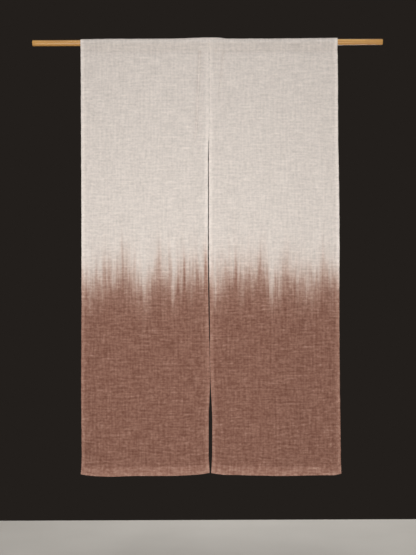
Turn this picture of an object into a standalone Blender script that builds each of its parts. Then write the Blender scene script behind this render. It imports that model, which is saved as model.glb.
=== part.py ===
"""Noren curtain on its rod: two linen panels, sewn together at the top and split below.

A noren is the short split curtain of a Japanese doorway. This one is two equal panels of slubby
linen, dip-dyed from the bottom. They are sewn edge to edge over their top 0.31 m and hang apart
below that, and a pocket along the top of both takes a round wooden rod.

Frame: metres, origin at the centre of the rod's left end face, +X along the rod to the right as
seen from the front, the front faces -Y, +Z up.

Run with: blender --background --python part.py
"""

import math

import bpy

# The rod and where the curtain sits along it.
ROD_LENGTH = 1.20
ROD_RADIUS = 0.010
ROD_SIDES = 32
ROD_CHAMFER = 0.001
CURTAIN_START = 0.165
PANEL_WIDTH = 0.44
SEAM_X = CURTAIN_START + PANEL_WIDTH

# The cloth. Hems are two more layers of it, turned to the back.
CURTAIN_DROP = 1.50
CLOTH_THICKNESS = 0.0012
HEM_THICKNESS = 0.0020
SIDE_HEM = 0.013
BOTTOM_HEM = 0.032
HEM_STEP = 0.001
SEAM_LENGTH = 0.31

# The pocket: both legs come down from the rod and meet at a line of stitches.
ROD_CLEARANCE = 0.0005
LAYER_GAP = 0.0003
POCKET_STITCH_Z = -0.0285
POCKET_TAIL = 0.004
POCKET_ARC_STEPS = 14
OVER_ROD_RADIUS = ROD_RADIUS + ROD_CLEARANCE + HEM_THICKNESS
TOP_Z = OVER_ROD_RADIUS
FRONT_Y = -(HEM_THICKNESS + LAYER_GAP / 2)

# The grid of each panel.
COLUMNS_BETWEEN_HEMS = 11
ROW_HEIGHT = 0.040
HEM_LINES = 2  # grid lines over a hem: its fold and its sewn edge

# How far each edge strays from a straight hang, to the right, in mm, and how wide the slit is.
# A panel hangs by its top alone, so its edges wander a few millimetres on the way down.
EDGES = [
    # drop_m, left_edge, slit_middle, slit_gap, right_edge
    (0.000, 0.0, 0.0, 0.3, 0.0),
    (0.130, 0.0, 0.0, 0.3, 1.9),
    (SEAM_LENGTH, 0.2, -0.6, 0.3, 1.7),
    (0.400, 0.3, -3.4, 2.2, 2.5),
    (0.560, 0.3, -4.0, 2.6, 4.8),
    (0.700, -0.2, -4.8, 2.8, 5.0),
    (0.900, -0.7, -3.4, 3.8, 3.7),
    (0.990, -1.4, -2.4, 3.2, 3.5),
    (1.100, -2.2, -1.2, 0.7, 3.9),
    (1.160, -2.7, -0.3, 0.7, 4.2),
    (1.230, -2.9, 0.2, 6.0, 4.6),
    (1.300, -2.6, 0.1, 12.0, 5.5),
    (1.430, -2.2, -0.4, 12.0, 6.8),
    (1.470, -3.0, -0.7, 8.5, 7.4),
    (CURTAIN_DROP, -5.4, -0.9, 5.0, 7.8),
]
LEFT_EDGE, SLIT_MIDDLE, SLIT_GAP, RIGHT_EDGE = range(1, 5)

# How far the bottom edge is drawn up, in mm, by the distance from the slit.
# The folded corners are the stiffest and shortest places of the hem.
BOTTOM_EDGE = [
    # across_m, left_rise, right_rise
    (0.000, 11.7, 11.1),
    (0.025, 7.4, 7.0),
    (0.050, 4.9, 4.3),
    (0.105, 3.1, 2.8),
    (0.185, 1.4, 1.6),
    (0.280, 1.0, 0.1),
    (0.325, 0.0, 0.6),
    (0.380, 1.7, 1.5),
    (0.415, 4.2, 2.0),
    (0.440, 8.4, 7.2),
]
LEFT_RISE, RIGHT_RISE = range(1, 3)
RISE_HEIGHT = 0.26

# Soft folds, each a trough (depth to the back) or a ridge (to the front, minus), in mm.
# place_m is measured to the right from the seam. A fold grows from starts_m to full_m below the
# top and has died away at gone_m, or goes on past the hem.
PAST_HEM = 6.0 * CURTAIN_DROP
FOLDS = [
    # place_m, width_m, depth, starts_m, full_m, gone_m
    (-0.033, 0.042, 2.2, 0.050, 0.120, 0.420),
    (0.028, 0.028, 1.4, 0.050, 0.070, 0.190),
    (0.043, 0.034, 1.2, 0.130, 0.190, 0.420),
    (-0.365, 0.120, -3.0, 0.300, 0.900, PAST_HEM),
    (-0.245, 0.150, 3.6, 0.250, 1.100, PAST_HEM),
    (-0.115, 0.140, -3.2, 0.450, 1.200, PAST_HEM),
    (0.095, 0.120, 2.8, 0.350, 1.000, PAST_HEM),
    (0.215, 0.150, -3.8, 0.300, 1.150, PAST_HEM),
    (0.345, 0.130, 3.0, 0.200, 0.850, PAST_HEM),
]

# The seam's turned-in layers stack up where they cross the rod.
SEAM_LIFT = 0.0040
SEAM_LIFT_PLACE = -0.012
SEAM_LIFT_WIDTH = 0.090

DYE_DROP = 0.828
MM = 0.001

# name: (linear red, green, blue), roughness
FINISHES = {
    "undyed linen": ((0.66, 0.59, 0.52), 0.92),
    "brown-dyed linen": ((0.23, 0.118, 0.080), 0.92),
    "varnished wood": ((0.49, 0.27, 0.10), 0.38),
}


def clear_scene():
    for obj in list(bpy.data.objects):
        bpy.data.objects.remove(obj)


def make_material(name):
    colour, roughness = FINISHES[name]
    material = bpy.data.materials.new(name)
    material.use_nodes = True
    shader = material.node_tree.nodes["Principled BSDF"]
    shader.inputs["Base Color"].default_value = (*colour, 1.0)
    shader.inputs["Roughness"].default_value = roughness
    shader.inputs["Metallic"].default_value = 0.0
    return material


def smooth_step(low, high, value):
    share = min(max((value - low) / (high - low), 0.0), 1.0)
    return share * share * (3.0 - 2.0 * share)


def read_column(table, column, at):
    """A smooth curve through one column of a table, which never overshoots its rows."""
    places = [row[0] for row in table]
    values = [row[column] for row in table]
    at = min(max(at, places[0]), places[-1])
    slopes = [
        (values[i + 1] - values[i]) / (places[i + 1] - places[i])
        for i in range(len(table) - 1)
    ]
    tangents = [slopes[0]]
    for before, after in zip(slopes, slopes[1:]):
        level = before * after <= 0.0
        tangents.append(0.0 if level else 2.0 * before * after / (before + after))
    tangents.append(slopes[-1])
    i = max(k for k in range(len(slopes)) if places[k] <= at)
    span = places[i + 1] - places[i]
    share = (at - places[i]) / span
    rise = smooth_step(0.0, 1.0, share)
    return (
        values[i] * (1.0 - rise)
        + values[i + 1] * rise
        + span * share * (1.0 - share) ** 2 * tangents[i]
        - span * share**2 * (1.0 - share) * tangents[i + 1]
    )


def soft_bump(place, width, at):
    """1 at its place, falling smoothly to 0 half a width away."""
    share = min(abs(at - place) / (width / 2.0), 1.0)
    return 0.5 + 0.5 * math.cos(math.pi * share)


def fold_depth(right_of_seam, drop):
    """How far the folds push the cloth back at this place."""
    depth = 0.0
    for place, width, size, starts, full, gone in FOLDS:
        strength = smooth_step(starts, full, drop) * (1.0 - smooth_step(full, gone, drop))
        depth += MM * size * strength * soft_bump(place, width, right_of_seam)
    return depth


def hanging_drops():
    """The rows of the hanging sheet, from the hem's edge up to the pocket's stitches."""
    hem_line = CURTAIN_DROP - BOTTOM_HEM
    drops = [CURTAIN_DROP, hem_line + HEM_STEP / 2, hem_line - HEM_STEP / 2]
    stitches = TOP_Z - POCKET_STITCH_Z
    rows = round((drops[-1] - stitches) / ROW_HEIGHT)
    step = (drops[-1] - stitches) / rows
    return drops + [drops[-1] - step * (i + 1) for i in range(rows)]


def pocket_profile():
    """(y, z) of the cloth's outer face from the stitches, over the rod, to the tail behind."""
    to_stitches = math.hypot(FRONT_Y, POCKET_STITCH_Z)
    below = math.atan2(-FRONT_Y, -POCKET_STITCH_Z)
    wrap = math.pi - below - math.acos(OVER_ROD_RADIUS / to_stitches)
    arc = []
    for i in range(POCKET_ARC_STEPS + 1):
        angle = wrap * (2.0 * i / POCKET_ARC_STEPS - 1.0)
        arc.append((OVER_ROD_RADIUS * math.sin(angle), OVER_ROD_RADIUS * math.cos(angle)))
    front_leg = ((FRONT_Y + arc[0][0]) / 2.0, (POCKET_STITCH_Z + arc[0][1]) / 2.0)
    back_leg = (-front_leg[0], front_leg[1])
    stitches = (-FRONT_Y, POCKET_STITCH_Z)
    tail = (-FRONT_Y, POCKET_STITCH_Z - POCKET_TAIL)
    return [front_leg, *arc, back_leg, stitches, tail]


def panel_columns():
    """Shares of the panel's width, from the slit (0) to the outer edge (1)."""
    inner = SIDE_HEM / PANEL_WIDTH
    half_step = HEM_STEP / 2.0 / PANEL_WIDTH
    between = 1.0 - 2.0 * (inner + half_step)
    middle = [
        inner + half_step + between * i / COLUMNS_BETWEEN_HEMS
        for i in range(COLUMNS_BETWEEN_HEMS + 1)
    ]
    return [0.0, inner - half_step, *middle, 1.0 - inner + half_step, 1.0]


def edge_places(side, drop):
    """x of a panel's slit edge and outer edge at this drop. side is -1 left, 1 right."""
    slit = SEAM_X + MM * read_column(EDGES, SLIT_MIDDLE, drop)
    slit += side * MM * read_column(EDGES, SLIT_GAP, drop) / 2.0
    outer_column = LEFT_EDGE if side < 0 else RIGHT_EDGE
    outer = SEAM_X + side * PANEL_WIDTH + MM * read_column(EDGES, outer_column, drop)
    return slit, outer


def flat_over_hems(share):
    """A turned hem is stiff, so the cloth stays flat across it."""
    hem = (SIDE_HEM + HEM_STEP) / PANEL_WIDTH
    return min(max(share, hem), 1.0 - hem)


def hanging_point(side, share, drop):
    slit, outer = edge_places(side, drop)
    rise_column = LEFT_RISE if side < 0 else RIGHT_RISE
    rise = MM * read_column(BOTTOM_EDGE, rise_column, share * PANEL_WIDTH)
    rise *= smooth_step(CURTAIN_DROP - RISE_HEIGHT, CURTAIN_DROP, drop)
    depth = fold_depth(side * PANEL_WIDTH * flat_over_hems(share), drop)
    return (slit + share * (outer - slit), FRONT_Y + depth, TOP_Z - drop + rise)


def pocket_point(side, share, y, z):
    slit, outer = edge_places(side, 0.0)
    lift = SEAM_LIFT * soft_bump(
        SEAM_LIFT_PLACE, SEAM_LIFT_WIDTH, side * PANEL_WIDTH * share
    )
    lift *= smooth_step(0.0, OVER_ROD_RADIUS, z)
    return (slit + share * (outer - slit), y, z + lift)


def add_panel(name, side, materials):
    """One panel: a sheet that hangs, goes over the rod and ends behind its own stitches."""
    columns = panel_columns()
    drops = hanging_drops()
    pocket = pocket_profile()
    last_column = len(columns) - 1
    last_row = len(drops) + len(pocket) - 1
    bpy.ops.mesh.primitive_grid_add(
        x_subdivisions=last_column, y_subdivisions=last_row, size=2.0
    )
    panel = bpy.context.object
    panel.name = name
    panel.data.name = name
    hems = panel.vertex_groups.new(name="hems")
    for vertex in panel.data.vertices:
        column = round((vertex.co.x + 1.0) / 2.0 * last_column)
        row = round((vertex.co.y + 1.0) / 2.0 * last_row)
        share = columns[column] if side > 0 else columns[last_column - column]
        if row < len(drops):
            vertex.co = hanging_point(side, share, drops[row])
        else:
            vertex.co = pocket_point(side, share, *pocket[row - len(drops)])
        side_hem = min(column, last_column - column) < HEM_LINES
        bottom_hem = row < HEM_LINES
        hems.add([vertex.index], 1.0 if side_hem or bottom_hem else 0.0, "REPLACE")
    for material in materials:
        panel.data.materials.append(material)
    for face in panel.data.polygons:
        face.material_index = 1 if face.center.z < TOP_Z - DYE_DROP else 0
    panel.data.shade_smooth()

    layers = panel.modifiers.new("cloth thickness", "SOLIDIFY")
    layers.thickness = HEM_THICKNESS
    layers.offset = -1.0
    layers.use_even_offset = True
    layers.vertex_group = hems.name
    layers.thickness_vertex_group = CLOTH_THICKNESS / HEM_THICKNESS
    return panel


def add_rod(material):
    bpy.ops.mesh.primitive_cylinder_add(
        vertices=ROD_SIDES,
        radius=ROD_RADIUS,
        depth=ROD_LENGTH,
        location=(ROD_LENGTH / 2.0, 0.0, 0.0),
        rotation=(0.0, math.pi / 2.0, 0.0),
    )
    rod = bpy.context.object
    rod.name = "rod"
    rod.data.name = "rod"
    rod.data.materials.append(material)
    rod.data.shade_smooth()
    rod.data.set_sharp_from_angle(angle=math.radians(40))
    chamfer = rod.modifiers.new("end chamfers", "BEVEL")
    chamfer.width = ROD_CHAMFER
    chamfer.segments = 1
    chamfer.limit_method = "ANGLE"
    chamfer.angle_limit = math.radians(40)
    return rod


def gather(objects):
    """Puts the pieces in a collection of their own, under an empty at the middle of the rod."""
    collection = bpy.data.collections.new("noren curtain")
    bpy.context.scene.collection.children.link(collection)
    centre = bpy.data.objects.new("noren", None)
    centre.location = (ROD_LENGTH / 2.0, 0.0, 0.0)
    collection.objects.link(centre)
    bpy.context.view_layer.update()
    for obj in objects:
        for other in list(obj.users_collection):
            other.objects.unlink(obj)
        collection.objects.link(obj)
        obj.parent = centre
        obj.matrix_parent_inverse = centre.matrix_world.inverted()


def main():
    clear_scene()
    linen = [make_material("undyed linen"), make_material("brown-dyed linen")]
    rod = add_rod(make_material("varnished wood"))
    panel_left = add_panel("panel_left", -1, linen)
    panel_right = add_panel("panel_right", 1, linen)
    gather([rod, panel_left, panel_right])


main()
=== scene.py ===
# %% [markdown]
# # A noren curtain on its rod
# A noren is the short split curtain of a Japanese doorway. This one is two panels of slubby linen, each
# 44 cm wide and 1.5 m long. They are sewn edge to edge over their top 31 cm and hang apart below, so that
# people can walk through. The lower half was dipped in a brown dye, which crept up the threads in tongues.
#
# The imported model is the frame: it holds the rod and a plain solid of each panel. This lesson replaces
# them with finer ones, made at the same places, and gives them their finishes.

# %% The frame and its tools
import math

import bpy
import numpy as np
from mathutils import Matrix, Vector, noise


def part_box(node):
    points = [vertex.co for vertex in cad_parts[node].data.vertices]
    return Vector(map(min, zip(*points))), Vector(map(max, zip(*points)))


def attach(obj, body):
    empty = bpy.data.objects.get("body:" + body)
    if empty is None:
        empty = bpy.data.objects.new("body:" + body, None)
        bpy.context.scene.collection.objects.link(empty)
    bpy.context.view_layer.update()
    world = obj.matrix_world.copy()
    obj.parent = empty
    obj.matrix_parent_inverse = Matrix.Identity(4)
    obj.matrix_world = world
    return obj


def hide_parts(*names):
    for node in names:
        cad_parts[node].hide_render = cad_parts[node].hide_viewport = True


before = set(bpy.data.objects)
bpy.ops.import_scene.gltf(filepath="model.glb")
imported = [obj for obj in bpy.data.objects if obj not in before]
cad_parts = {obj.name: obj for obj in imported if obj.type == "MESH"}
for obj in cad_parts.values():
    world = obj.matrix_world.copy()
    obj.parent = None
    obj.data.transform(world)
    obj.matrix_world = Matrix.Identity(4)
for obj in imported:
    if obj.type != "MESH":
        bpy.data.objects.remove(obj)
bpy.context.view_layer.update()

# %% [markdown]
# ## Sizes
# The rod's box in the frame gives its length and radius. The cloth goes over the rod with half a
# millimetre to spare. Its outer face is where the plain solid has it, one solid hem further out, and
# under the rod the pocket's two layers are 0.3 mm apart. All the other sizes are those of the sewn
# curtain: a drop, a panel width, and the widths of its hems.

# %% Sizes of the rod and the cloth, in metres
MM = 0.001
SIDES = ((-1, "left"), (1, "right"))
rod_low, rod_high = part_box("rod")
ROD_LENGTH = rod_high.x - rod_low.x
ROD_RADIUS = (rod_high.z - rod_low.z) / 2.0
ROD_CLEARANCE = 0.5 * MM

PANEL_WIDTH = 0.44
PANEL_DROP = 1.50
SEAM_X = 0.605
SEAM_LENGTH = 0.31
SIDE_HEM = 0.013
BOTTOM_HEM = 0.032
TURNED_IN = 0.010
SOLID_HEM = 2.0 * MM
HALF_GAP = 0.15 * MM
OUTER_RADIUS = ROD_RADIUS + ROD_CLEARANCE + SOLID_HEM
TOP_Z = OUTER_RADIUS
FRONT_Y = -(SOLID_HEM + HALF_GAP)
print(f"rod {ROD_LENGTH:.3f} m long, {2000 * ROD_RADIUS:.1f} mm thick; cloth top at {TOP_Z:.4f} m")

# %% [markdown]
# ## The camera
# It stands level with the middle of the curtain and square to it, 3.2 m in front, and its lens takes in
# 1.9 m of the curtain's plane from top to bottom. It leans a fifth of a degree, as a camera held by hand
# does, so the rod rises very slightly to the right.

# %% Camera
CAMERA_DISTANCE = 3.2
VIEW_HEIGHT = 1.904
VIEW_CENTRE_X = SEAM_X - 6.5 * MM
VIEW_CENTRE_Z = -0.806
CAMERA_LEAN = math.radians(0.22)

bpy.ops.object.select_all(action="DESELECT")
bpy.ops.object.camera_add(
    location=(VIEW_CENTRE_X, -CAMERA_DISTANCE, VIEW_CENTRE_Z),
    rotation=(math.radians(90.0), CAMERA_LEAN, 0.0),
)
camera = bpy.context.object
camera.data.sensor_width = 36.0
camera.data.lens = camera.data.sensor_width * CAMERA_DISTANCE / VIEW_HEIGHT
bpy.context.scene.camera = camera
print(f"lens {camera.data.lens:.1f} mm")

# %% [markdown]
# ## How a panel hangs
# A panel is held by its top alone, so its edges wander a few millimetres on the way down. Short tables
# say how far, row by row, and one function draws a smooth curve through a column of a table. It keeps
# the slope at zero wherever a column turns back, so that the curve never swings past its rows.

# %% Tables of the outline
EDGES = [
    # drop_m, left_edge, slit_middle, slit_gap, right_edge, all in mm but the drop
    (0.000, 0.0, 0.0, 0.1, 0.0),
    (0.130, 0.0, 0.0, 0.1, 1.9),
    (0.310, 0.2, -0.6, 0.1, 1.7),
    (0.400, 0.3, -3.4, 2.2, 2.5),
    (0.560, 0.3, -4.0, 2.6, 4.8),
    (0.700, -0.2, -4.8, 2.8, 5.0),
    (0.900, -0.7, -3.4, 3.8, 3.7),
    (0.990, -1.4, -2.4, 3.2, 3.5),
    (1.100, -2.2, -1.2, 0.7, 3.9),
    (1.160, -2.7, -0.3, 0.7, 4.2),
    (1.230, -2.9, 0.2, 6.0, 4.6),
    (1.300, -2.6, 0.1, 12.0, 5.5),
    (1.430, -2.2, -0.4, 12.0, 6.8),
    (1.470, -3.0, -0.7, 8.5, 7.4),
    (PANEL_DROP, -5.4, -0.9, 5.0, 7.8),
]
LEFT_EDGE, SLIT_MIDDLE, SLIT_GAP, RIGHT_EDGE = range(1, 5)

BOTTOM_EDGE = [
    # across_m from the slit, left_rise, right_rise in mm
    (0.000, 11.7, 11.1),
    (0.025, 7.4, 7.0),
    (0.050, 4.9, 4.3),
    (0.105, 3.1, 2.8),
    (0.185, 1.4, 1.6),
    (0.280, 1.0, 0.1),
    (0.325, 0.0, 0.6),
    (0.380, 1.7, 1.5),
    (0.415, 4.2, 2.0),
    (0.440, 8.4, 7.2),
]
LEFT_RISE, RIGHT_RISE = range(1, 3)
# Above the foot the rise dies out over this height.
RISE_HEIGHT = 0.26

TOP_EDGE = [
    # place_m to the right of the seam, lift in mm: the seam's layers stack up over the rod
    (-0.440, 0.0),
    (-0.340, 0.8),
    (-0.150, 0.9),
    (-0.090, 1.5),
    (-0.050, 2.9),
    (-0.012, 4.1),
    (0.028, 4.0),
    (0.062, 0.4),
    (0.200, 0.0),
    (0.330, 0.5),
    (0.440, 1.3),
]
TOP_LIFT = 1
print(f"{len(EDGES)} rows down the edges, {len(BOTTOM_EDGE)} along the foot, {len(TOP_EDGE)} on top")


# %% Smooth curves through the tables
def smooth_step(low, high, value):
    share = np.clip((value - low) / (high - low), 0.0, 1.0)
    return share * share * (3.0 - 2.0 * share)


def read_column(table, column, at):
    """A smooth curve through one column of a table, which never overshoots its rows."""
    rows = np.array(table)
    places, values = rows[:, 0], rows[:, column]
    slopes = np.diff(values) / np.diff(places)
    before, after = slopes[:-1], slopes[1:]
    turns = before * after <= 0.0
    inner = 2.0 * before * after / np.where(turns, 1.0, before + after)
    tangents = np.concatenate((slopes[:1], np.where(turns, 0.0, inner), slopes[-1:]))
    at = np.clip(at, places[0], places[-1])
    i = np.clip(np.searchsorted(places, at, side="right") - 1, 0, len(slopes) - 1)
    span = places[i + 1] - places[i]
    share = (at - places[i]) / span
    rise = smooth_step(0.0, 1.0, share)
    curve = values[i] * (1.0 - rise) + values[i + 1] * rise
    curve += span * share * (1.0 - share) ** 2 * tangents[i]
    return curve - span * share**2 * (1.0 - share) * tangents[i + 1]


def edge_places(side, drop):
    """x of a panel's slit edge and outer edge. side is -1 for the left panel, 1 for the right."""
    slit = SEAM_X + MM * read_column(EDGES, SLIT_MIDDLE, drop)
    slit = slit + side * MM * read_column(EDGES, SLIT_GAP, drop) / 2.0
    outer_column = LEFT_EDGE if side < 0 else RIGHT_EDGE
    outer = SEAM_X + side * PANEL_WIDTH + MM * read_column(EDGES, outer_column, drop)
    return slit, outer


widest = float(read_column(EDGES, SLIT_GAP, np.linspace(0.0, PANEL_DROP, 500)).max())
print(f"the slit opens to {widest:.1f} mm near its foot")

# %% [markdown]
# ## Folds and cockles
# Linen this firm hangs nearly flat. What it has is six long soft folds, 3 to 4 mm deep, three sharp
# creases beside the seam, short puckers where the pocket's stitches draw it in, and a slight cockling
# all over, because a washed linen never dries quite flat. The folds, creases and puckers are listed one
# by one. The cockling is smooth seeded noise, wider and longer for the larger swells. A turned hem is
# three layers thick and stiff, so no fold bends it across its width, and the cockling stops short of
# the cloth's edge. A hem has small ripples of its own from the sewing.

# %% Tables of folds, creases, puckers and cockles
FOLDS = [
    # place_m right of the seam, width_m, depth in mm to the back, starts_m, full_m
    (-0.365, 0.120, -3.0, 0.300, 0.900),
    (-0.245, 0.150, 3.6, 0.250, 1.100),
    (-0.115, 0.140, -3.2, 0.450, 1.200),
    (0.095, 0.120, 2.8, 0.350, 1.000),
    (0.215, 0.150, -3.8, 0.300, 1.150),
    (0.345, 0.130, 3.0, 0.200, 0.850),
]

CREASES = [
    # place_m right of the seam, drift in m per m of drop, width_m, depth in mm,
    # starts_m, full_m, fades_m, gone_m
    (-0.030, -0.045, 0.022, 6.0, 0.010, 0.050, 0.300, 0.430),
    (0.024, 0.000, 0.011, 3.2, 0.010, 0.030, 0.080, 0.170),
    (0.056, -0.110, 0.018, 4.2, 0.020, 0.060, 0.150, 0.270),
]

PUCKERS = [
    # place_m right of the seam, width_m, depth in mm, length_m down from the pocket's stitches
    (-0.412, 0.022, 0.7, 0.045),
    (-0.351, 0.016, 1.0, 0.035),
    (-0.303, 0.014, 0.9, 0.030),
    (-0.236, 0.024, 0.5, 0.050),
    (-0.162, 0.018, 0.6, 0.028),
    (-0.097, 0.015, 1.0, 0.034),
    (0.047, 0.014, 0.9, 0.040),
    (0.118, 0.022, 0.5, 0.045),
    (0.205, 0.018, 0.6, 0.030),
    (0.298, 0.014, 0.9, 0.034),
    (0.346, 0.016, 1.0, 0.030),
    (0.405, 0.020, 0.6, 0.050),
]

COCKLES = [
    # (width_m, height_m), size in mm
    ((0.085, 0.160), 0.75),
    ((0.034, 0.070), 0.34),
    ((0.015, 0.024), 0.14),
]
COCKLE_SEED = 10.3
# The cockling starts this far from an edge, and is full from this far on.
COCKLING_STARTS = 0.004
COCKLING_FULL = 0.020

# (width_m, height_m) of a hem's ripples, size in mm, reach_m to both sides of its stitches, seed
SIDE_RIPPLES = ((0.030, 0.011), 0.30, 0.008, 4.7)
FOOT_RIPPLES = ((0.012, 0.030), 0.35, 0.010, 6.1)

deepest = max(abs(row[2]) for row in FOLDS)
print(f"{len(FOLDS)} folds up to {deepest} mm deep, {len(CREASES)} creases, {len(PUCKERS)} puckers")


# %% How far a fold moves the cloth back
def soft_bump(place, width, at):
    """1 at its place, falling smoothly to 0 half a width away."""
    share = np.minimum(np.abs(at - place) / (width / 2.0), 1.0)
    return 0.5 + 0.5 * np.cos(math.pi * share)


def crease(place, width, at):
    """Like a soft bump, but sharp in the middle."""
    share = np.minimum(np.abs(at - place) / (width / 2.0), 1.0)
    return (1.0 - share) ** 2


def fold_depth(side, across, drop):
    """Folds and creases. Across a side hem they stay as deep as beside it."""
    hem = SIDE_HEM + MM
    place = side * np.clip(across, hem, PANEL_WIDTH - hem)
    depth = np.zeros_like(across)
    for middle, width, size, starts, full in FOLDS:
        strength = smooth_step(starts, full, drop)
        depth += MM * size * strength * soft_bump(middle, width, place)
    for middle, leaning, width, size, starts, full, fades, gone in CREASES:
        strength = smooth_step(starts, full, drop) * (1.0 - smooth_step(fades, gone, drop))
        depth += MM * size * strength * crease(middle + leaning * drop, width, place)
    return depth


foot_of_fold = 1000.0 * fold_depth(1, np.array([FOLDS[4][0]]), PANEL_DROP)[0]
print(f"at the foot, the right panel's middle fold moves the cloth back by {foot_of_fold:.1f} mm")


# %% How far the small relief moves it
def drift(across, along, spread, seed):
    """Smooth seeded swells between about -1 and 1. spread is one swell's width and height."""
    spots = zip(across / spread[0], along / spread[1])
    return 2.0 * np.array([noise.noise((a, b, seed)) for a, b in spots])


def from_edge(across):
    """Distance to the nearer side edge of the panel."""
    return np.minimum(across, PANEL_WIDTH - across)


def ripples(side, across, along, from_stitches, row):
    """Short waves in a hem, strongest at its stitches."""
    spread, size, reach, seed = row
    near = np.exp(-((from_stitches / reach) ** 2))
    return MM * size * near * drift(across, along, spread, seed * side)


def small_relief(side, across, along, below_stitches):
    """Puckers under the pocket, cockles, and the ripples of the sewn hems."""
    inside = smooth_step(COCKLING_STARTS, COCKLING_FULL, from_edge(across))
    depth = np.zeros_like(across)
    for middle, width, size, length in PUCKERS:
        fade = np.exp(-np.maximum(below_stitches, 0.0) / length)
        depth += MM * size * fade * soft_bump(middle, width, side * across)
    for number, (spread, size) in enumerate(COCKLES):
        swell = drift(across, along, spread, COCKLE_SEED * side + number)
        depth += MM * size * swell * inside
    depth += ripples(side, across, along, from_edge(across) - SIDE_HEM, SIDE_RIPPLES)
    depth += ripples(side, across, along, along - BOTTOM_HEM, FOOT_RIPPLES)
    return depth


at_foot = 1000.0 * small_relief(1, np.array([0.1, 0.2, 0.3]), np.zeros(3), PANEL_DROP)
print("small relief at three places of the right foot, in mm:", [round(float(v), 2) for v in at_foot])

# %% [markdown]
# ## The pocket over the rod
# The cloth goes up from the pocket's stitches, round the rod, and down behind to the same stitches. Seen
# from the end it is two straight legs that touch a circle. The angle at which a leg leaves the circle
# follows from the distance between the rod's axis and the stitches, so a change of rod moves all of it.
# The two layers are pinched together at the stitches, and the last centimetre behind is turned under.

# %% The pocket's path
STITCH_Z = -0.0285
POCKET_TAIL = 0.004
TO_STITCHES = PANEL_DROP - (TOP_Z - STITCH_Z)

stitch_distance = math.hypot(FRONT_Y, STITCH_Z)
leg_length = math.sqrt(stitch_distance**2 - OUTER_RADIUS**2)
below_axis = math.atan2(-FRONT_Y, -STITCH_Z)
wrap = math.pi - below_axis - math.acos(OUTER_RADIUS / stitch_distance)
arc_length = 2.0 * wrap * OUTER_RADIUS
TO_BACK_STITCHES = TO_STITCHES + 2.0 * leg_length + arc_length
CLOTH_LENGTH = TO_BACK_STITCHES + POCKET_TAIL


def pocket_path(past_stitches):
    """(y, z) of the cloth's outer face, by its distance past the front stitches."""
    angle = np.clip((past_stitches - leg_length) / OUTER_RADIUS, 0.0, 2.0 * wrap) - wrap
    y = OUTER_RADIUS * np.sin(angle)
    z = OUTER_RADIUS * np.cos(angle)
    foot_y = np.sign(angle) * -FRONT_Y
    past_arc = np.abs(past_stitches - leg_length - arc_length / 2.0) - arc_length / 2.0
    down_leg = np.clip(past_arc / leg_length, 0.0, 1.0)
    y = y + (foot_y - y) * down_leg
    z = z + (STITCH_Z - z) * down_leg
    return y, z - np.maximum(past_arc - leg_length, 0.0)


print(f"pocket {1000 * (2 * leg_length + arc_length):.0f} mm round, cloth {CLOTH_LENGTH:.3f} m long")


# %% The cloth's outer face, below the stitches
# Between the hems the pocket's layers are drawn in this far, in full from this far inside a hem, and
# it dies out this far above and below the stitches.
PINCH = 1.25 * MM
PINCH_FULL = 9.0 * MM
PINCH_REACH = 0.012

# The side edges sway in short waves.
SWAY = 0.35 * MM
SWAY_SPREAD = (0.300, 0.018)
SWAY_SEED = 8.9
SWAY_REACH = 0.010


def pinch(across, from_stitches):
    """Between the hems the two layers are one stitch apart, so both are drawn in there."""
    between = smooth_step(SIDE_HEM - MM, SIDE_HEM + PINCH_FULL, from_edge(across))
    return PINCH * between * np.exp(-np.abs(from_stitches) / PINCH_REACH)


def hanging_points(side, across, along):
    """The cloth below the front stitches."""
    drop = PANEL_DROP - along
    slit, outer = edge_places(side, drop)
    rise_column = LEFT_RISE if side < 0 else RIGHT_RISE
    rise = MM * read_column(BOTTOM_EDGE, rise_column, across)
    rise *= smooth_step(PANEL_DROP - RISE_HEIGHT, PANEL_DROP, drop)
    y = FRONT_Y + fold_depth(side, across, drop)
    y += small_relief(side, across, along, TO_STITCHES - along)
    y += pinch(across, TO_STITCHES - along)
    near_edge = np.exp(-((from_edge(across) / SWAY_REACH) ** 2))
    sway = SWAY * near_edge * drift(across, along, SWAY_SPREAD, SWAY_SEED * side)
    x = slit + across / PANEL_WIDTH * (outer - slit) + sway
    return np.stack((x, y, TOP_Z - drop + rise), axis=1)


print(f"the pocket's layers are drawn in by {1000 * PINCH} mm between the hems")

# %% The cloth's outer face, over the rod
# Over the rod the cloth bulges out, by up to twice this share of its radius.
SLACK = 0.025
SLACK_SPREAD = (0.024, 0.040)
SLACK_SEED = 3.3
# Past a line of stitches the bulge starts at the first distance, and is full at the second.
SLACK_STARTS = 0.004
SLACK_FULL = 0.020
# The folds and the small relief die out over this length past the stitches.
RELIEF_FADE = 0.008


def pocket_points(side, across, along):
    """The cloth past the front stitches: up, round the rod and down behind."""
    slit, outer = edge_places(side, 0.0)
    past = along - TO_STITCHES
    to_end = TO_BACK_STITCHES - along
    y, z = pocket_path(past)
    lift = MM * read_column(TOP_EDGE, TOP_LIFT, side * across) * smooth_step(0.0, OUTER_RADIUS, z)
    over_rod = smooth_step(SLACK_STARTS, SLACK_FULL, past)
    over_rod *= smooth_step(SLACK_STARTS, SLACK_FULL, to_end)
    bulge = 1.0 + drift(across, along, SLACK_SPREAD, SLACK_SEED * side)
    slack = 1.0 + SLACK * bulge * over_rod
    front_fade = np.exp(-past / RELIEF_FADE)
    back_fade = np.exp(-np.maximum(to_end, 0.0) / RELIEF_FADE)
    relief = small_relief(side, across, along, -past) * front_fade
    relief += fold_depth(side, across, PANEL_DROP - TO_STITCHES) * (front_fade + back_fade)
    relief += pinch(across, past) - pinch(across, to_end)
    x = slit + across / PANEL_WIDTH * (outer - slit)
    return np.stack((x, y * slack + relief, z * slack + lift), axis=1)


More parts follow.
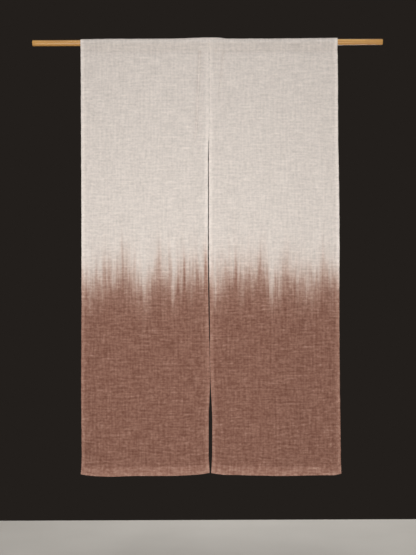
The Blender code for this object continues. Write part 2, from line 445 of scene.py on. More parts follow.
def cloth_points(side, across, along):
    """Points of a panel's outer face: across from the slit's edge, along from the foot's edge."""
    hanging = hanging_points(side, across, np.minimum(along, TO_STITCHES))
    pocket = pocket_points(side, across, np.maximum(along, TO_STITCHES))
    return np.where((along > TO_STITCHES)[:, None], pocket, hanging)


corner = cloth_points(1, np.array([PANEL_WIDTH]), np.array([0.0]))[0]
print("the right panel's outer foot corner is at", [round(float(v), 3) for v in corner])

# %% [markdown]
# ## The sheet itself
# A panel could be cut from a solid or draped by simulation, but its shape is known to the millimetre,
# so a flat grid is laid onto the surface above, and Solidify gives it its thickness. The grid is finest
# where the cloth turns: at the folded edges, at the step of each hem, round the rod, and in the 65 mm
# beside the slit, where the creases are. One layer is 0.6 mm thick and a hem is three of them. The
# weight of a vertex group says how thick each place is, and at a folded edge the front curves back to
# meet it, so that the fold is round and not cut square.

# %% Columns and rows of the grid
HEM_THICKNESS = 1.8 * MM
ONE_LAYER = 1.0 / 3.0
FOLD_ROUNDING = [
    # distance from the folded edge, how far the front has curved back, both in mm, share of thickness
    (0.0, 0.72, 0.10),
    (0.15, 0.40, 0.45),
    (0.5, 0.10, 0.85),
    (1.1, 0.0, 1.0),
]
# Grid lines over a hem, as shares of its width, and beside its step.
HEM_SHARES = (0.2, 0.4, 0.62, 0.82)
STEP_LINES = (-0.4 * MM, 0.4 * MM, 2.2 * MM)
COLUMN_WIDTH = 3.3 * MM
FINE_WIDTH = 2.0 * MM
FINE_PART = 0.065
ROW_HEIGHT = 7.0 * MM
# The rows round the pocket start this far below its stitches.
POCKET_STARTS = 0.012
POCKET_ROWS = 50
TAIL_EDGE = 0.2 * MM


def hem_lines(width):
    """Where grid lines run near a hem: over its rounded fold, and close on both sides of its step."""
    rounding = [row[0] * MM for row in FOLD_ROUNDING]
    over_hem = [share * width for share in HEM_SHARES]
    beside_step = [width + distance for distance in STEP_LINES]
    return np.array(rounding + over_hem + beside_step)


def evenly(start, end, step):
    """Grid lines between two others, about a step apart."""
    count = round((end - start) / step)
    return np.linspace(start, end, count + 1)[1:-1]


side_lines = hem_lines(SIDE_HEM)
columns = np.concatenate((
    side_lines,
    evenly(side_lines[-1], FINE_PART, FINE_WIDTH),
    [FINE_PART],
    evenly(FINE_PART, PANEL_WIDTH - side_lines[-1], COLUMN_WIDTH),
    PANEL_WIDTH - side_lines[::-1],
))
foot_lines = hem_lines(BOTTOM_HEM)
pocket_from = TO_STITCHES - POCKET_STARTS
rows = np.concatenate((
    foot_lines,
    evenly(foot_lines[-1], pocket_from, ROW_HEIGHT),
    np.linspace(pocket_from, TO_BACK_STITCHES, POCKET_ROWS),
    [TO_BACK_STITCHES + POCKET_TAIL / 2.0, CLOTH_LENGTH - TAIL_EDGE, CLOTH_LENGTH],
))
print(f"{len(columns)} columns and {len(rows)} rows, {4 * len(columns) * len(rows)} triangles a panel")


# %% How thick each place is
def thickness_shares(across, along):
    """Share of a hem's thickness at each point, and how far its front curves back, in metres."""
    table = np.array(FOLD_ROUNDING)
    edge = np.minimum(from_edge(across), along) / MM
    curved_back = MM * np.interp(edge, table[:, 0], table[:, 1])
    rounding = np.interp(edge, table[:, 0], table[:, 2])
    in_hem = (from_edge(across) < SIDE_HEM) | (along < BOTTOM_HEM)
    turned = along > CLOTH_LENGTH - TURNED_IN
    layers = np.where(in_hem, 1.0, np.where(turned, 2.0 * ONE_LAYER, ONE_LAYER))
    return layers * rounding, curved_back


print(f"one layer is {1000 * ONE_LAYER * HEM_THICKNESS:.1f} mm thick, a hem {1000 * HEM_THICKNESS:.1f} mm")


# %% Laying the grid on the surface
def read_points(mesh):
    flat = np.empty(3 * len(mesh.vertices), np.float32)
    mesh.vertices.foreach_get("co", flat)
    return flat.reshape(-1, 3)


def write_points(mesh, points):
    mesh.vertices.foreach_set("co", points.astype(np.float32).ravel())
    mesh.update()


def add_cloth(name, side):
    """One sheet, still without thickness, and how far across and along each of its vertices is."""
    bpy.ops.object.select_all(action="DESELECT")
    bpy.ops.mesh.primitive_grid_add(
        x_subdivisions=len(columns) - 1, y_subdivisions=len(rows) - 1, size=2.0
    )
    cloth = bpy.context.object
    cloth.name = name
    cloth.data.name = name
    shares = (read_points(cloth.data) + 1.0) / 2.0
    column = np.rint(shares[:, 0] * (len(columns) - 1)).astype(int)
    row = np.rint(shares[:, 1] * (len(rows) - 1)).astype(int)
    across = columns[column if side > 0 else len(columns) - 1 - column]
    along = rows[row]

    points = cloth_points(side, across, along)
    thickness, curved_back = thickness_shares(across, along)
    behind_rod = along > (TO_STITCHES + TO_BACK_STITCHES) / 2.0
    points[:, 1] += np.where(behind_rod, -curved_back, curved_back)
    write_points(cloth.data, points)

    group = cloth.vertex_groups.new(name="thickness")
    thickness = np.round(thickness, 3)
    for share in np.unique(thickness):
        members = np.flatnonzero(thickness == share)
        group.add(members.tolist(), float(share), "REPLACE")
    return cloth, across, along


def thicken(cloth):
    layers = cloth.modifiers.new("layers", "SOLIDIFY")
    layers.thickness = HEM_THICKNESS
    layers.offset = -1.0
    layers.vertex_group = "thickness"
    bpy.context.view_layer.objects.active = cloth
    bpy.ops.object.modifier_apply(modifier=layers.name)
    cloth.data.shade_smooth()

print(f"a panel starts as {(len(columns) - 1) * (len(rows) - 1)} squares")

# %% [markdown]
# ## Where the dye climbed
# The cloth was dipped foot first and hung to drip. Dye creeps up along the vertical threads, faster in
# some than in others, so the line between brown and bare linen is a row of flames and pale runs. Each
# row of the table is one of them: its place across the panel from the slit, its half width, and how far
# it climbs above the line, or falls below it where the number is negative. The height of the line at
# each point is stored on the mesh, and the finish adds the finer bleeding.
#
# Each side hem's rounded ridge is painted paler, a painted highlight where the fold catches the light,
# put in as thinner dye. Dye also sits thinner on the thick hem at the foot. A second number on the mesh
# holds both.

# %% The tongues of dye
DYE_DROP = 0.843
DYE_LINE = PANEL_DROP - DYE_DROP
# 1 would make a tongue a sharp peak, and 2 a rounded bell.
TONGUE_POWER = 1.25
LEFT_TONGUES = [
    # across_m from the slit, half_width in mm, climb in mm
    (0.008, 5.0, 86.0),
    (0.040, 8.0, 36.0),
    (0.061, 6.0, 14.0),
    (0.084, 6.0, 54.0),
    (0.103, 5.0, 18.0),
    (0.119, 7.0, -44.0),
    (0.134, 4.0, 38.0),
    (0.148, 6.0, -20.0),
    (0.172, 9.0, 54.0),
    (0.222, 15.0, -60.0),
    (0.246, 6.0, -8.0),
    (0.283, 8.0, 20.0),
    (0.298, 7.0, 52.0),
    (0.336, 9.0, 12.0),
    (0.358, 6.0, 26.0),
    (0.413, 16.0, -34.0),
]
RIGHT_TONGUES = [
    # across_m from the slit, half_width in mm, climb in mm
    (0.020, 6.0, -44.0),
    (0.068, 9.0, 20.0),
    (0.089, 8.0, 58.0),
    (0.134, 9.0, 24.0),
    (0.152, 5.0, 12.0),
    (0.174, 10.0, 42.0),
    (0.186, 5.0, 22.0),
    (0.214, 9.0, -46.0),
    (0.236, 7.0, -12.0),
    (0.259, 7.0, 30.0),
    (0.280, 8.0, 12.0),
    (0.300, 9.0, -14.0),
    (0.330, 6.0, -16.0),
    (0.349, 8.0, -26.0),
    (0.368, 5.0, -16.0),
    (0.386, 8.0, 36.0),
    (0.402, 4.0, 20.0),
    (0.412, 4.0, -12.0),
    (0.422, 3.5, 6.0),
    (0.434, 5.0, -22.0),
]


def dye_rise(side, across):
    """How far the dye climbed above its line."""
    rise = np.zeros_like(across)
    for middle, half_width, climb in LEFT_TONGUES if side < 0 else RIGHT_TONGUES:
        share = np.abs(across - middle) / (half_width * MM)
        rise += MM * climb * np.exp(-(share**TONGUE_POWER))
    return rise


highest = max(row[2] for row in LEFT_TONGUES + RIGHT_TONGUES)
print(f"{len(LEFT_TONGUES)} and {len(RIGHT_TONGUES)} tongues, up to {highest:.0f} mm high")

# %% Where the dye is thin, and the painted highlight on the hems' ridges
# Each share is what is missing of the dye there. On a side hem's ridge that share is a painted highlight.
RIDGE_HIGHLIGHT = 0.13
RIDGE_PLACE = 5.5 * MM
RIDGE_WIDTH = 6.0 * MM
THIN_SIDE_HEM = 0.03
SIDE_STEP = 1.0 * MM
THIN_FOOT = 0.13
FOOT_STEP = 1.5 * MM
THIN_FOOT_FOLD = 0.06
FOOT_FOLD_WIDTH = 9.0 * MM
# In the sewn seam the ridge lies flat, so its painted highlight is weaker there by this share, in full
# above this drop.
SEAM_HIGHLIGHT_CUT = 0.55
SEAM_HIGHLIGHT_CUT_FROM = 0.6 * SEAM_LENGTH
# Where a side hem crosses the foot's hem, this share of the smaller one is added.
CORNER_SHARE = 0.3
UNEVENNESS = 0.35
UNEVEN_SPREAD = (0.012, 0.012)
UNEVEN_SEED = 2.9


def thin_dye_and_highlight(side, across, along):
    """Share of the dye that the hems haven't taken, with a painted highlight on each side hem's ridge put
    in as missing dye.
    """
    edge = from_edge(across)
    # The ridge's share is a painted highlight, where the rounded fold of the hem catches the light.
    ridge = RIDGE_HIGHLIGHT * np.exp(-(((edge - RIDGE_PLACE) / RIDGE_WIDTH) ** 2))
    sewn = smooth_step(PANEL_DROP - SEAM_LENGTH, PANEL_DROP - SEAM_HIGHLIGHT_CUT_FROM, along)
    ridge *= 1.0 - SEAM_HIGHLIGHT_CUT * sewn * (across < PANEL_WIDTH / 2.0)
    past_side_hem = smooth_step(SIDE_HEM - SIDE_STEP, SIDE_HEM + SIDE_STEP, edge)
    side_hem = ridge + THIN_SIDE_HEM * (1.0 - past_side_hem)
    past_foot_hem = smooth_step(BOTTOM_HEM - FOOT_STEP, BOTTOM_HEM + FOOT_STEP, along)
    foot = THIN_FOOT * (1.0 - past_foot_hem)
    foot_fold = THIN_FOOT_FOLD * np.exp(-((along / FOOT_FOLD_WIDTH) ** 2))
    thin = np.maximum(side_hem, foot + foot_fold) + CORNER_SHARE * np.minimum(side_hem, foot)
    return thin * (1.0 + UNEVENNESS * drift(across, along, UNEVEN_SPREAD, UNEVEN_SEED * side))


print(f"{100 * (THIN_FOOT + THIN_FOOT_FOLD):.0f} % of the dye is missing at the foot's fold")

# %% What a finish reads from the mesh
RIGHT_PANEL_FROM = 0.5


def add_values(mesh, name, values):
    """Stores one number for each vertex, for a material to read."""
    layer = mesh.attributes.new(name, "FLOAT", "POINT")
    layer.data.foreach_set("value", values.astype(np.float32))


def add_cloth_maps(mesh, side, across, along, paling_share=1.0):
    """The cloth's own flat measure in metres, as a UV map, and the two numbers of the dye, the second of
    which also holds the painted highlight on the hems' ridges. The right panel is cut half a metre further
    on, so that its weave differs from the left one's."""
    corners = np.empty(len(mesh.loops), np.int32)
    mesh.loops.foreach_get("vertex_index", corners)
    cut_from = RIGHT_PANEL_FROM if side > 0 else 0.0
    flat = np.stack((across + cut_from, along), axis=1)
    layer = mesh.uv_layers.new(name="cloth")
    layer.data.foreach_set("uv", flat[corners].astype(np.float32).ravel())
    add_values(mesh, "dye_rise", dye_rise(side, across))
    add_values(mesh, "thin_dye_and_highlight", paling_share * thin_dye_and_highlight(side, across, along))


print(f"the right panel's flat measure starts at {RIGHT_PANEL_FROM} m")

# %% The two panels
cloths = {}
for side, word in SIDES:
    cloth, across, along = add_cloth(f"panel_{word}_cloth", side)
    add_cloth_maps(cloth.data, side, across, along)
    thicken(cloth)
    cloths[side] = cloth
    print(cloth.name, "has", len(cloth.data.polygons), "faces")

# %% [markdown]
# ## Stitches
# The hems and the pocket are machine sewn, with a stitch every 3.6 mm that shows on both sides of the
# cloth. One stitch is modelled, a short thread that dips into the cloth at both ends. An Array modifier
# repeats it in a straight row as long as the seam, and the row is then laid on the cloth: the distance
# along the row runs along the seam, and the height above it stays a height above the cloth.

# %% One row of stitches
STITCH_PITCH = 3.6 * MM
STITCH_LENGTH = 2.9 * MM
THREAD_WIDTH = 0.50 * MM
THREAD_LIFT = 0.05 * MM
# A thread has half as much of the missing dye and of the painted highlight as the cloth under it.
THREAD_PALING_SHARE = 0.5


def add_row(count):
    """A straight row of stitches along X, on Z = 0."""
    bpy.ops.object.select_all(action="DESELECT")
    bpy.ops.mesh.primitive_uv_sphere_add(segments=6, ring_count=3, radius=0.5)
    row = bpy.context.object
    row.rotation_euler = (0.0, math.radians(90.0), 0.0)
    row.scale = (THREAD_WIDTH, THREAD_WIDTH, STITCH_LENGTH)
    bpy.ops.object.transform_apply(location=True, rotation=True, scale=True)
    repeat = row.modifiers.new("repeat", "ARRAY")
    repeat.count = count
    repeat.use_relative_offset = False
    repeat.use_constant_offset = True
    repeat.constant_offset_displace = (STITCH_PITCH, 0.0, 0.0)
    bpy.ops.object.modifier_apply(modifier=repeat.name)
    return row


def sew(side, start, end, face_y, height):
    """Lays a row on a panel from start to end, each (across, along), at a height from the cloth's
    outer face. face_y is -1 for a row that faces the front, 1 for one that faces the back."""
    start, end = np.array(start), np.array(end)
    length = float(np.linalg.norm(end - start))
    heading = (end - start) / length
    crossing = np.array((-heading[1], heading[0]))
    row = add_row(int(length / STITCH_PITCH))
    straight = read_points(row.data).astype(float)
    on_cloth = start + np.outer(straight[:, 0] + STITCH_PITCH / 2.0, heading)
    on_cloth = on_cloth + np.outer(straight[:, 1], crossing)
    across, along = on_cloth[:, 0], on_cloth[:, 1]
    points = cloth_points(side, across, along)
    points[:, 1] += face_y * (straight[:, 2] + height)
    write_points(row.data, points)
    add_cloth_maps(row.data, side, across, along, THREAD_PALING_SHARE)
    return row


print(f"{1.0 / STITCH_PITCH:.0f} stitches to a metre")


# %% All the rows of a panel, joined
SEWN_IN = 2.0 * MM
FOOT_ROW_FROM = 2.0 * MM
POCKET_ROW_FROM = 1.5 * MM


def add_stitches(name, side):
    inner = SIDE_HEM - SEWN_IN
    outer = PANEL_WIDTH - inner
    foot = BOTTOM_HEM - SEWN_IN
    seams = [
        ((inner, foot + MM), (inner, TO_STITCHES - MM)),
        ((outer, foot + MM), (outer, TO_STITCHES - MM)),
        ((FOOT_ROW_FROM, foot), (PANEL_WIDTH - FOOT_ROW_FROM, foot)),
    ]
    found = []
    for start, end in seams:
        found.append(sew(side, start, end, -1, THREAD_LIFT))
        found.append(sew(side, start, end, 1, HEM_THICKNESS + THREAD_LIFT))
    for along, face_y in ((TO_STITCHES, -1), (TO_BACK_STITCHES, 1)):
        start = (POCKET_ROW_FROM, along)
        end = (PANEL_WIDTH - POCKET_ROW_FROM, along)
        found.append(sew(side, start, end, face_y, THREAD_LIFT))
    bpy.ops.object.select_all(action="DESELECT")
    for row in found:
        row.select_set(True)
    bpy.context.view_layer.objects.active = found[0]
    bpy.ops.object.join()
    stitches = bpy.context.object
    stitches.name = name
    stitches.data.name = name
    stitches.data.shade_smooth()
    return stitches


threads = {}
for side, word in SIDES:
    threads[side] = add_stitches(f"stitches_{word}", side)
    print(threads[side].name, "has", len(threads[side].data.polygons), "faces")

# %% [markdown]
# ## The rod
# The rod is a turned wooden dowel. A disc is extruded along X in steps, so that the rod has rings of
# vertices to work on, its ends are bevelled as a lathe tool eases them, and the rings are then moved a
# tenth of a millimetre, because a long thin dowel is never quite straight or round.

# %% Modelling the dowel
ROD_SIDES = 96
ROD_STEPS = 60
ROD_EASING = 1.0 * MM
ROD_EASING = 1.0 * MM
EASING_STEPS = 4
# Only an edge sharper than this is eased.
EASED_FROM = math.radians(60.0)


def add_dowel(name):
    bpy.ops.object.select_all(action="DESELECT")
    bpy.ops.mesh.primitive_circle_add(
        vertices=ROD_SIDES,
        radius=ROD_RADIUS,
        fill_type="NGON",
        rotation=(0.0, math.radians(-90.0), 0.0),
    )
    dowel = bpy.context.object
    dowel.name = name
    dowel.data.name = name
    bpy.ops.object.transform_apply(location=False, rotation=True, scale=False)
    bpy.ops.object.mode_set(mode="EDIT")
    bpy.ops.mesh.select_all(action="SELECT")
    for _ in range(ROD_STEPS):
        move = {"value": (ROD_LENGTH / ROD_STEPS, 0.0, 0.0)}
        bpy.ops.mesh.extrude_region_move(TRANSFORM_OT_translate=move)
    bpy.ops.mesh.select_all(action="SELECT")
    bpy.ops.mesh.normals_make_consistent(inside=False)
    bpy.ops.object.mode_set(mode="OBJECT")
    easing = dowel.modifiers.new("eased ends", "BEVEL")
    easing.width = ROD_EASING
    easing.segments = EASING_STEPS
    easing.limit_method = "ANGLE"
    easing.angle_limit = EASED_FROM
    bpy.ops.object.modifier_apply(modifier=easing.name)
    return dowel


print(f"the dowel has {ROD_SIDES} sides and {ROD_STEPS} steps of {1000 * ROD_LENGTH / ROD_STEPS:.0f} mm")

# %% The finished dowel
# How much it swells and bows, and over what length.
ROD_SWELL = 0.008
SWELL_LENGTH = 0.11
ROD_BOW = 0.15 * MM
BOW_LENGTH = 0.30
# Up to this angle between two faces, the shading runs round.
ROUND_UP_TO = math.radians(35.0)


def make_uneven(dowel):
    """A dowel bows and swells a little along its length."""
    for vertex in dowel.data.vertices:
        x = vertex.co.x
        swell = 1.0 + ROD_SWELL * noise.noise((x / SWELL_LENGTH, 5.0, 0.0))
        vertex.co.y = vertex.co.y * swell + ROD_BOW * noise.noise((x / BOW_LENGTH, 1.0, 0.0))
        vertex.co.z = vertex.co.z * swell + ROD_BOW * noise.noise((x / BOW_LENGTH, 9.0, 0.0))
    dowel.data.update()


dowel = add_dowel("rod_dowel")
make_uneven(dowel)
bpy.context.view_layer.objects.active = dowel
bpy.ops.object.shade_smooth_by_angle(angle=ROUND_UP_TO)
print(dowel.name, "has", len(dowel.data.polygons), "faces")

# %% [markdown]
# ## Colours and nodes
# Colours are written as the sRGB hex values of a paint chart, and one function turns them to the linear
# values that the shader wants. Another adds a node with its settings and what feeds it. A number that
# is the same all over a surface goes straight into the shader's own input.


# %% Helpers for materials
def linear(hex_colour):
    """sRGB hex, such as "d8cec4", to linear red, green and blue."""
    parts = [int(hex_colour[i : i + 2], 16) / 255.0 for i in (0, 2, 4)]
    return tuple(c / 12.92 if c <= 0.04045 else ((c + 0.055) / 1.055) ** 2.4 for c in parts)


def feed(node, feeds):
    """Sets inputs, by name or number, to a value, a node's first output or one output of a node."""
    for socket, source in feeds.items():
        if isinstance(source, bpy.types.Node):
            source = source.outputs[0]
        if isinstance(source, bpy.types.NodeSocket):
            node.id_data.links.new(source, node.inputs[socket])
        else:
            node.inputs[socket].default_value = source


def add_node(material, kind, feeds=None, **settings):
    """Adds a shader node of a kind, such as Math, with its settings and what feeds it."""
    node = material.node_tree.nodes.new("ShaderNode" + kind)
    for name, value in settings.items():
        setattr(node, name, value)
    feed(node, feeds or {})
    return node


def set_ramp(ramp, *stops):
    """Gives a colour ramp its two stops, each a place from 0 to 1 and an sRGB hex colour."""
    for element, (place, hex_colour) in zip(ramp.color_ramp.elements, stops):
        element.position = place
        element.color = (*linear(hex_colour), 1.0)


def new_material(name):
    material = bpy.data.materials.new(name)
    material.use_nodes = True
    return material, material.node_tree.nodes["Principled BSDF"]


print("a middle grey, 808080, is linear", [round(part, 3) for part in linear("808080")])

# %% [markdown]
# ## Dip-dyed slub linen
# Linen yarn is spun from long stiff fibres and is thick and thin by turns. Woven plain, that gives short
# pale dashes across the cloth where a thick weft lies, and fainter ones down it. The threads are 0.6 mm
# apart, too fine to show from three metres, so four noises stand for them, drawn as coarse as they need
# to be to show: short and long weft streaks about 7 mm from one to the next, warp streaks 6.5 mm apart
# and 60 mm long, and a few bright slubs. A thick thread takes less dye for its size, so the pattern is
# stronger in brown.
#
# Dye follows the law of stained glass: each dose takes the same share of the light that is left. So the
# colour is the bare linen's times (brown / bare) to the power of the dose, and the dose falls off above
# the dye line along an S-shaped curve. Linen is matt, with a faint sheen of fibre ends at its edges.

# %% Dip-dyed slub linen: its two colours
BARE_LINEN = linear("e3d9d1")
BROWN_LINEN = linear("886051")
FULL_DOSE_LEAVES = tuple(brown / bare for brown, bare in zip(BROWN_LINEN, BARE_LINEN))

linen, linen_shader = new_material("dip-dyed slub linen")
linen_uv = add_node(linen, "UVMap", uv_map="cloth")
print("a full dose leaves", [round(share, 2) for share in FULL_DOSE_LEAVES], "of red, green and blue")


# %% Dip-dyed slub linen: streaks, and the dose of dye
def pattern(material, uv, size, seed, detail):
    """Noise from -0.5 to 0.5, stretched to size: from streak to streak, (across, along) in metres."""
    scale = (1.0 / size[0], 1.0 / size[1], 1.0)
    shift = (seed, 1.7 * seed, 0.0)
    placed = add_node(material, "VectorMath", {0: uv, 1: scale, 2: shift}, operation="MULTIPLY_ADD")
    feeds = {"Vector": placed, "Scale": 1.0, "Detail": detail, "Roughness": 0.5}
    streaks = add_node(material, "TexNoise", feeds, noise_dimensions="2D")
    return add_node(material, "Math", {0: streaks, 1: 0.5}, operation="SUBTRACT")


DYE_SOFTNESS = 0.034
BLEEDS = [
    # (width_m, height_m), seed, how far in m the line wanders
    ((0.014, 0.160), 11.0, 0.08),
    ((0.006, 0.110), 23.0, 0.05),
]


def dye_dose(material, uv):
    """From 0 above the dye line to 1 well below it: 1 / (1 + exp(height above it / softness))."""
    rise = add_node(material, "Attribute", attribute_name="dye_rise").outputs["Fac"]
    line = add_node(material, "Math", {0: rise, 1: DYE_LINE}, operation="ADD")
    for size, seed, climb in BLEEDS:
        bleed = pattern(material, uv, size, seed, 1.0)
        line = add_node(material, "Math", {0: bleed, 1: climb, 2: line}, operation="MULTIPLY_ADD")
    along = add_node(material, "SeparateXYZ", {0: uv}).outputs["Y"]
    above = add_node(material, "Math", {0: along, 1: line}, operation="SUBTRACT")
    steps = add_node(material, "Math", {0: above, 1: DYE_SOFTNESS}, operation="DIVIDE")
    growth = add_node(material, "Math", {0: steps}, operation="EXPONENT")
    growth = add_node(material, "Math", {0: growth, 1: 1.0}, operation="ADD")
    return add_node(material, "Math", {0: 1.0, 1: growth}, operation="DIVIDE")


fade = 2.0 * math.log(9.0) * DYE_SOFTNESS
print(f"the dye fades from nine tenths to one tenth over {1000 * fade:.0f} mm")

# %% Dip-dyed slub linen: thick and thin threads
STREAKS = [
    # (width_m, height_m), seed, strength: short weft, long weft, warp
    ((0.0100, 0.0072), 3.0, 7.0),
    ((0.0550, 0.0070), 19.0, 6.0),
    ((0.0065, 0.0600), 7.0, 5.0),
]
SLUB_SIZE = (0.050, 0.0065)
SLUB_SEED = 15.0
SLUB_STRENGTH = 1.6
# A slub begins where its noise passes the first, and is full at the second.
SLUB_STARTS = 0.16
SLUB_FULL = 0.30

slub_noise = pattern(linen, linen_uv, SLUB_SIZE, SLUB_SEED, 0.0)
slub_feeds = {"Value": slub_noise, "From Min": SLUB_STARTS, "From Max": SLUB_FULL}
slubs = add_node(linen, "MapRange", slub_feeds, interpolation_type="SMOOTHSTEP")
weave_tone = add_node(linen, "Math", {0: slubs, 1: SLUB_STRENGTH}, operation="MULTIPLY")
for size, seed, strength in STREAKS:
    streak_feeds = {0: pattern(linen, linen_uv, size, seed, 1.0), 1: strength, 2: weave_tone}
    weave_tone = add_node(linen, "Math", streak_feeds, operation="MULTIPLY_ADD")
print(len(STREAKS), "kinds of streak and one of slubs")

# %% Dip-dyed slub linen: colour
# How much paler the linen is where the dye is thin and where the painted highlight lies on a hem's ridge,
# and how much a thick thread is lighter in bare linen and short of dye in brown linen.
EDGE_PALING = 1.1
BARE_CONTRAST = 0.037
BROWN_CONTRAST = 0.058


def dyed_colour(material, dose, tone, bare_contrast, brown_contrast):
    """The bare colour times what a full dose leaves, to the power of the dose that was taken."""
    # This number is the missing dye, with the painted highlight on the hems' ridges in it.
    thin = add_node(material, "Attribute", attribute_name="thin_dye_and_highlight").outputs["Fac"]
    taken = add_node(material, "Math", {0: 1.0, 1: thin}, operation="SUBTRACT")
    taken = add_node(material, "Math", {0: dose, 1: taken}, operation="MULTIPLY")
    thread_feeds = {0: tone, 1: -brown_contrast, 2: 1.0}
    by_thread = add_node(material, "Math", thread_feeds, operation="MULTIPLY_ADD")
    taken = add_node(material, "Math", {0: taken, 1: by_thread}, operation="MULTIPLY")
    powers = add_node(material, "CombineXYZ", {0: taken, 1: taken, 2: taken})
    left = add_node(material, "VectorMath", {0: FULL_DOSE_LEAVES, 1: powers}, operation="POWER")
    dyed = add_node(material, "VectorMath", {0: left, 1: BARE_LINEN}, operation="MULTIPLY")
    # Where the dye is thin, and on the painted highlight of the hems' ridges, the colour is paler still.
    pale = add_node(material, "Math", {0: thin, 1: EDGE_PALING, 2: 1.0}, operation="MULTIPLY_ADD")
    pale = add_node(material, "Math", {0: tone, 1: bare_contrast, 2: pale}, operation="MULTIPLY_ADD")
    return add_node(material, "VectorMath", {0: dyed, "Scale": pale}, operation="SCALE")


linen_dose = dye_dose(linen, linen_uv)
feed(linen_shader, {
    "Base Color": dyed_colour(linen, linen_dose, weave_tone, BARE_CONTRAST, BROWN_CONTRAST),
    "Roughness": 0.92,
    "Specular IOR Level": 0.25,
    "Sheen Weight": 0.12,
    "Sheen Roughness": 0.55,
})
print("a thick thread takes", BROWN_CONTRAST, "less dye for each step of its tone")

# %% Dip-dyed slub linen: relief of the weave
# Two threads, one over and one under. The bump's height is in steps of the tone.
WEAVE_REPEAT = 1.2 * MM
WEAVE_HEIGHT = 0.70
BUMP_DEPTH = 0.1 * MM

turn_feeds = {0: linen_uv, "Scale": 2.0 * math.pi / WEAVE_REPEAT}
turns = add_node(linen, "VectorMath", turn_feeds, operation="SCALE")
sines = add_node(linen, "VectorMath", {0: turns}, operation="SINE")
waves = add_node(linen, "SeparateXYZ", {0: sines}).outputs
over_under = add_node(linen, "Math", {0: waves["X"], 1: waves["Y"]}, operation="MULTIPLY")
relief_feeds = {0: over_under, 1: WEAVE_HEIGHT, 2: weave_tone}
relief = add_node(linen, "Math", relief_feeds, operation="MULTIPLY_ADD")
bump = add_node(linen, "Bump", {"Height": relief, "Strength": 0.7, "Distance": BUMP_DEPTH})
feed(linen_shader, {"Normal": bump})
for cloth in cloths.values():
    cloth.data.materials.append(linen)
print(linen.name, "has", len(linen.node_tree.nodes), "nodes")

# %% [markdown]
# ## Sewing thread
# The curtain was sewn with bare cotton thread and dipped whole, so the thread has the same dye line.
# Spun cotton is smoother and a little paler than the linen, and its twist runs round it in fine lines.

# %% Sewing thread
TWIST_SIZE = (1.2 * MM, 1.2 * MM)
TWIST_SEED = 31.0
TWIST_CONTRAST = 4.0
COTTON_PALER = 0.4

cotton, cotton_shader = new_material("spun cotton sewing thread")
cotton_uv = add_node(cotton, "UVMap", uv_map="cloth")
cotton_dose = dye_dose(cotton, cotton_uv)
twist = pattern(cotton, cotton_uv, TWIST_SIZE, TWIST_SEED, 2.0)
twist_feeds = {0: twist, 1: TWIST_CONTRAST, 2: COTTON_PALER}
twist_tone = add_node(cotton, "Math", twist_feeds, operation="MULTIPLY_ADD")
twist_bump = {"Height": twist, "Strength": 0.5, "Distance": BUMP_DEPTH}
feed(cotton_shader, {
    "Base Color": dyed_colour(cotton, cotton_dose, twist_tone, 0.03, 0.05),
    "Roughness": 0.8,
    "Normal": add_node(cotton, "Bump", twist_bump),
})
for row in threads.values():
    row.data.materials.append(cotton)
print(cotton.name, "has", len(cotton.node_tree.nodes), "nodes")

# %% [markdown]
# ## Varnished hardwood
# The dowel is a plain pale hardwood with a warm satin varnish. Its grain runs along the rod: streaks
# 120 mm long and 2.2 mm wide, finer pores in them, and slow changes from honey to a darker tan. A solid
# pattern on the object's own coordinates runs through the wood, so the ends show the grain cut across.

# %% Varnished hardwood
GRAIN = {
    # length_m, width_m, seed, detail, strength
    "streaks": (0.120, 0.0022, 2.0, 3.0, 0.90),
    "slow changes": (0.180, 0.0300, 14.0, 1.0, 0.60),
    "pores": (0.012, 0.0005, 8.0, 2.0, 0.25),
}
MIDDLE_TONE = 0.5

wood, wood_shader = new_material("satin varnished hardwood")
wood_place = add_node(wood, "TexCoord").outputs["Object"]
wood_tone = MIDDLE_TONE
grain = {}
for name, (length, width, seed, detail, strength) in GRAIN.items():
    grain_feeds = {0: wood_place, 1: (1.0 / length, 1.0 / width, 1.0 / width), 2: (seed, seed, seed)}
    placed = add_node(wood, "VectorMath", grain_feeds, operation="MULTIPLY_ADD")
    noise_feeds = {"Vector": placed, "Scale": 1.0, "Detail": detail}
    found = add_node(wood, "TexNoise", noise_feeds)
    grain[name] = add_node(wood, "Math", {0: found, 1: 0.5}, operation="SUBTRACT")
    tone_feeds = {0: grain[name], 1: strength, 2: wood_tone}
    wood_tone = add_node(wood, "Math", tone_feeds, operation="MULTIPLY_ADD")

honey_and_tan = add_node(wood, "ValToRGB", {"Fac": wood_tone})
set_ramp(honey_and_tan, (0.25, "b97f3a"), (0.80, "f2bc6a"))
pore_bump = {"Height": grain["pores"], "Strength": 0.25, "Distance": BUMP_DEPTH}
feed(wood_shader, {
    "Base Color": honey_and_tan,
    "Roughness": 0.40,
    "Coat Weight": 0.6,
    "Coat Roughness": 0.25,
    "Normal": add_node(wood, "Bump", pore_bump),
})
dowel.data.materials.append(wood)
print(wood.name, "has", len(wood.node_tree.nodes), "nodes")
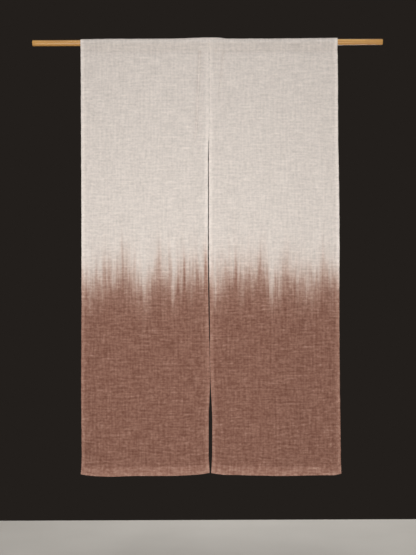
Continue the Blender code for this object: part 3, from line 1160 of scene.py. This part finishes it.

# %% [markdown]
# ## What each piece stands for
# Every piece rides on the one body of the frame. The two sheets and the dowel take the places of the
# plain solids, which stay in the model for collision. Each sheet was cut to its 44 cm plus 13 mm of hem
# and 10 mm turned in on each side, and to its length from the turn behind the rod, round the pocket and
# down to the turn inside the bottom hem.

for side, word in SIDES:
    for piece in (cloths[side], threads[side]):
        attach(piece, "root")
    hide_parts(f"panel_{word}")
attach(dowel, "root")
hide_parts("rod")

# %% [markdown]
# ## Light and floor
# A doorway is lit from the street. One large soft lamp stands in front, a little below the middle of
# the cloth, so that its light is weaker at the top. A stronger one high up in front stands for the sky
# and shines down on the rod and the cloth. A third one behind shows the back in other views. The room
# behind is dark, so the world is a deep grey-brown, and a plain pale floor lies half a metre below the
# curtain.

# %% Lamps
lamps = [
    # name, place, what it faces, width in m, watts
    ("street_light", (0.50, -2.1, -1.0), (0.55, 0.0, -0.85), 1.6, 36.5),
    ("sky_light", (0.6, -2.2, 5.6), (0.6, 0.0, -0.5), 1.6, 158.0),
    ("room_light", (0.9, 2.6, 0.3), (0.6, 0.0, -0.75), 1.6, 62.0),
]
for name, place, faces, width, watts in lamps:
    bpy.ops.object.light_add(type="AREA", location=place)
    lamp = bpy.context.object
    lamp.name = name
    lamp.rotation_euler = (Vector(faces) - Vector(place)).to_track_quat("-Z", "Y").to_euler()
    lamp.data.size = width
    lamp.data.energy = watts
    lamp.visible_camera = False
print(len(lamps), "lamps")

# %% World, floor and tone
world = bpy.data.worlds.new("dim room")
bpy.context.scene.world = world
world.use_nodes = True
feed(world.node_tree.nodes["Background"], {"Color": (*linear("231f1c"), 1.0)})
bpy.context.scene.view_settings.view_transform = "Standard"

FLOOR_Z = -1.95
FLOOR_WIDTH = 8.0
FLOOR_BEHIND = 1.2
FLOOR_FRONT = -6.0
bpy.ops.object.select_all(action="DESELECT")
bpy.ops.mesh.primitive_plane_add(
    size=1.0, location=(SEAM_X, (FLOOR_BEHIND + FLOOR_FRONT) / 2.0, FLOOR_Z)
)
floor = bpy.context.object
floor.name = "floor"
floor.scale = (FLOOR_WIDTH, FLOOR_BEHIND - FLOOR_FRONT, 1.0)
bpy.ops.object.transform_apply(location=True, rotation=True, scale=True)

screed, screed_shader = new_material("pale screed")
floor_place = add_node(screed, "TexCoord").outputs["Object"]
clouds = add_node(screed, "TexNoise", {"Vector": floor_place, "Scale": 3.0, "Detail": 3.0})
screed_shades = add_node(screed, "ValToRGB", {"Fac": clouds})
set_ramp(screed_shades, (0.0, "b9b4ac"), (1.0, "c9c4bc"))
feed(screed_shader, {"Base Color": screed_shades, "Roughness": 0.8})
floor.data.materials.append(screed)
print(f"the floor lies {-1000 * FLOOR_Z:.0f} mm below the rod's axis")
